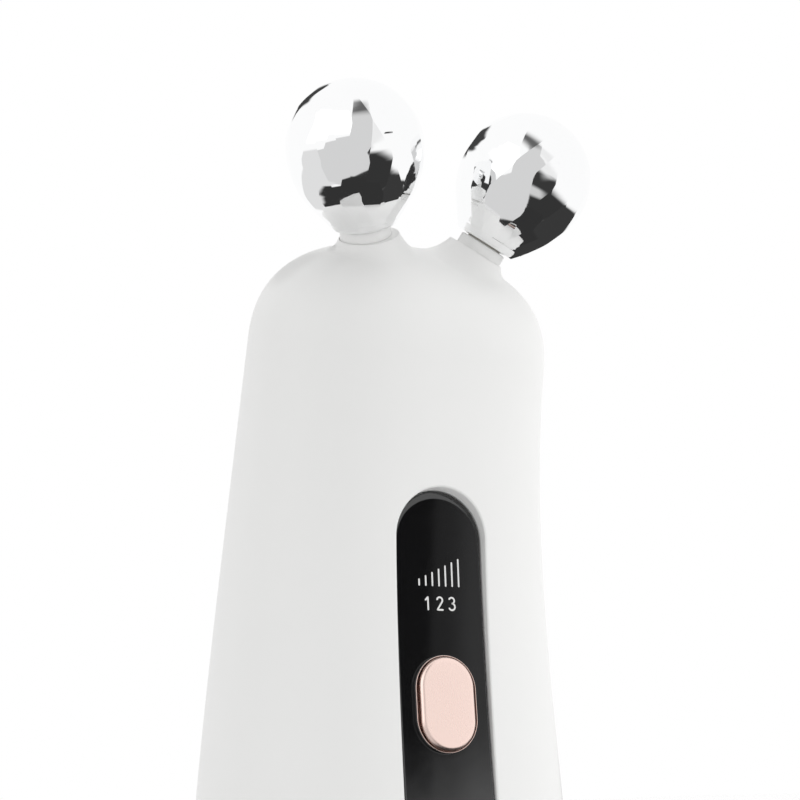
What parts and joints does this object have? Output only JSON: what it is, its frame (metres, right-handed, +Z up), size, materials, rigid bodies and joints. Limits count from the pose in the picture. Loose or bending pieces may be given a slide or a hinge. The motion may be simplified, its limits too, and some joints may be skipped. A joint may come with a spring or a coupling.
{
  "type": "facial toning device",
  "caption": "Upright leaning hand piece with a recessed front panel, one push button and faceted roller balls that spin on splayed posts at its head.",
  "frame": {"origin": "middle of the flat base, in the plane the foot pad stands on", "axes": "+Z up the handle towards the rollers; the panel and button face -Y; +X is the right-hand roller as seen from the front (-Y side looking along +Y)"},
  "size_m": [0.0548, 0.0618, 0.1471],
  "materials": {
    "white_shell": "satin moulded shell",
    "panel_black": "high gloss",
    "rose_gold": "satin plated",
    "roller_plate": "mirror plated",
    "steel": "turned",
    "bronze": "turned",
    "contact_plate": "plated wire",
    "frame_grey": "moulded",
    "soft_grey": "soft moulded",
    "soft_black": "soft moulded",
    "silicone": "translucent",
    "slip_white": "smooth",
    "adhesive_sheet": "foam tape",
    "board_green": "solder mask",
    "chip_black": "moulded",
    "switch_body": "moulded",
    "winding": "taped winding",
    "capacitor_sleeve": "sleeve",
    "lamp_lens": "clear",
    "cell_wrap": "shrink wrap",
    "wire_red": "insulation",
    "wire_black": "insulation",
    "wire_yellow": "insulation",
    "inlet_steel": "drawn shell"
  },
  "bodies": {
    "handle": {"housing": "white_shell", "base_cap": "white_shell", "foot_pad": "soft_grey", "base_screws": "steel", "control_panel": "panel_black", "panel_adhesive": "adhesive_sheet", "button_bezel": "rose_gold", "button_dome": "silicone", "button_switch": "switch_body", "left_post": "steel", "right_post": "steel", "left_collar": "white_shell", "right_collar": "white_shell", "post_seals": "soft_black", "slip_washers": "slip_white", "retaining_clips": "steel", "post_yoke": "frame_grey", "yoke_screws": "steel", "left_contact": "contact_plate", "right_contact": "contact_plate", "inner_frame": "frame_grey", "board_screws": "steel", "main_board": "board_green", "controller_chip": "chip_black", "pulse_transformer": "winding", "storage_capacitor": "capacitor_sleeve", "lamp_row": "lamp_lens", "rechargeable_cell": "cell_wrap", "cell_positive_lead": "wire_red", "cell_negative_lead": "wire_black", "charge_lead": "wire_yellow", "inlet_shell": "inlet_steel", "inlet_tongue": "chip_black", "charge_board": "board_green"},
    "left_roller_set": {"left_roller": "roller_plate", "left_bush": "bronze"},
    "right_roller_set": {"right_roller": "roller_plate", "right_bush": "bronze"},
    "button": {"power_button": "rose_gold"}
  },
  "joints": [
    {"name": "left_roller_spin", "type": "hinge", "parent": "handle", "child": "left_roller_set", "pos_m": [-0.0141, -0.0252, 0.1372], "axis": [-0.3567, -0.5095, 0.783], "continuous": true},
    {"name": "right_roller_spin", "type": "hinge", "parent": "handle", "child": "right_roller_set", "pos_m": [0.0141, -0.0252, 0.1372], "axis": [0.3567, -0.5095, 0.783], "continuous": true},
    {"name": "button_press", "type": "slide", "parent": "handle", "child": "button", "axis": [0, 0.998, -0.0628], "range_m": [0, 0.0006], "stiffness_N_per_m": 900, "springref_m": -0.0004, "deforming": ["button_dome"]}
  ]
}
